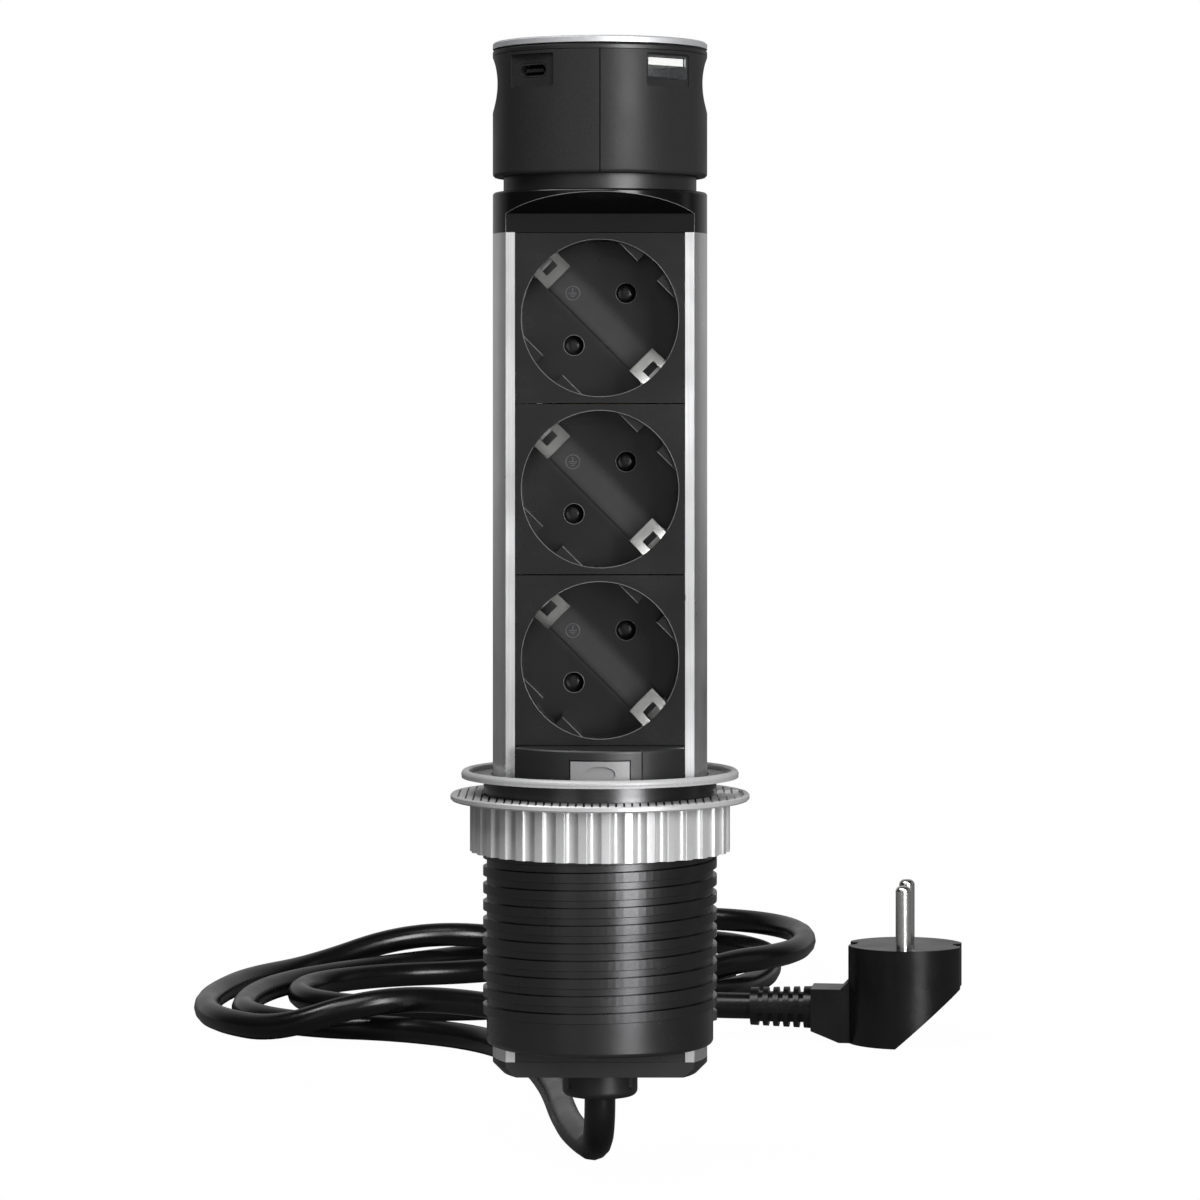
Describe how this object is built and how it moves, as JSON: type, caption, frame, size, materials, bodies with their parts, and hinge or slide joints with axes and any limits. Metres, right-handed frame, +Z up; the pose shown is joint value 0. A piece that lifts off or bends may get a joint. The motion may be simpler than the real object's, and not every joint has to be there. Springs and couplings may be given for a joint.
{
  "type": "pop up desk socket",
  "caption": "Round pop up desk socket raised out of its grommet, with earthed mains sockets in a D-shaped tower, USB ports in the head and a mains lead.",
  "frame": {"origin": "centre of the flange ring's underside, which is the top face of the desk", "axes": "+Z up along the tower, -Y is the way the sockets face, +X to the right seen from the front"},
  "size_m": [0.2429, 0.4907, 0.2898],
  "materials": {
    "black_aluminium_tube": "satin, fine sparkle",
    "grey_ring": "satin",
    "grey_nut_plastic": "satin",
    "anodised_profile": "satin anodised",
    "black_gloss_plastic": "gloss",
    "black_socket_plastic": "satin",
    "black_plastic": "satin",
    "head_textured_plastic": "fine texture",
    "brushed_disc": "brushed",
    "button_grey_plastic": "satin",
    "spring_steel": "bright",
    "plated_strip": "bright nickel",
    "brass": "bright",
    "white_carrier_plastic": "satin",
    "grey_shutter_plastic": "satin",
    "white_tongue_plastic": "satin",
    "usb_shell_steel": "bright",
    "board_laminate": "satin",
    "transformer_tape": "satin",
    "capacitor_sleeve": "gloss",
    "cord_rubber": "satin",
    "live_insulation": "satin",
    "neutral_insulation": "satin",
    "earth_insulation": "satin"
  },
  "bodies": {
    "base": {"sleeve": "black_aluminium_tube", "flange_ring": "grey_ring"},
    "nut": {"clamp_nut": "grey_nut_plastic"},
    "tower": {"profile": "anodised_profile", "profile_screws": "spring_steel", "collar": "black_gloss_plastic", "neck": "black_plastic", "chin": "black_plastic", "lower_panel": "black_plastic", "bottom_cap": "black_plastic", "cable_gland": "black_plastic", "gland_nut": "black_plastic", "inner_lead": "cord_rubber", "live_busbar": "brass", "neutral_busbar": "brass", "earth_busbar": "brass", "live_wire": "live_insulation", "neutral_wire": "neutral_insulation", "earth_wire": "earth_insulation", "button_spring": "spring_steel", "head_spring": "spring_steel", "cord": "cord_rubber", "plug_relief": "cord_rubber", "plug_body": "cord_rubber", "plug_contacts": "plated_strip", "plug_pins": "plated_strip", "socket_1": "black_socket_plastic", "earth_strap_1": "plated_strip", "contact_carrier_1": "white_carrier_plastic", "socket_2": "black_socket_plastic", "earth_strap_2": "plated_strip", "contact_carrier_2": "white_carrier_plastic", "socket_3": "black_socket_plastic", "earth_strap_3": "plated_strip", "contact_carrier_3": "white_carrier_plastic"},
    "button": {"release_button": "button_grey_plastic"},
    "head": {"head_shell": "head_textured_plastic", "head_lid": "black_plastic", "top_disc": "brushed_disc", "stem_clip": "spring_steel", "usb_c_shell": "usb_shell_steel", "usb_c_tongue": "black_plastic", "usb_a_shell": "usb_shell_steel", "usb_a_tongue": "white_tongue_plastic", "usb_board": "board_laminate", "board_screws": "spring_steel", "charger_transformer": "transformer_tape", "charger_capacitor": "capacitor_sleeve"},
    "shutter_top": {"shutter_1": "grey_shutter_plastic"},
    "shutter_middle": {"shutter_2": "grey_shutter_plastic"},
    "shutter_bottom": {"shutter_3": "grey_shutter_plastic"}
  },
  "joints": [
    {"name": "tower_slide", "type": "slide", "parent": "base", "child": "tower", "axis": [0, 0, 1], "range_m": [-0.1851, 0]},
    {"name": "nut_slide", "type": "slide", "parent": "base", "child": "nut", "axis": [0, 0, 1], "range_m": [-0.045, 0]},
    {"name": "button_press", "type": "slide", "parent": "tower", "child": "button", "axis": [0, 1, 0], "range_m": [0, 0.003], "stiffness_N_per_m": 400, "springref_m": -0.001, "deforming": ["button_spring"]},
    {"name": "head_press", "type": "slide", "parent": "tower", "child": "head", "axis": [0, 0, 1], "range_m": [-0.0035, 0], "stiffness_N_per_m": 1500, "springref_m": 0.002, "deforming": ["head_spring"]},
    {"name": "shutter_top_turn", "type": "hinge", "parent": "tower", "child": "shutter_top", "pos_m": [0, -0.0043, 0.1174], "axis": [0, 1, 0], "range_deg": [0, 38], "stiffness_Nm_per_rad": 0.02},
    {"name": "shutter_middle_turn", "type": "hinge", "parent": "tower", "child": "shutter_middle", "pos_m": [0, -0.0043, 0.074], "axis": [0, 1, 0], "range_deg": [0, 38], "stiffness_Nm_per_rad": 0.02},
    {"name": "shutter_bottom_turn", "type": "hinge", "parent": "tower", "child": "shutter_bottom", "pos_m": [0, -0.0043, 0.0306], "axis": [0, 1, 0], "range_deg": [0, 38], "stiffness_Nm_per_rad": 0.02}
  ]
}
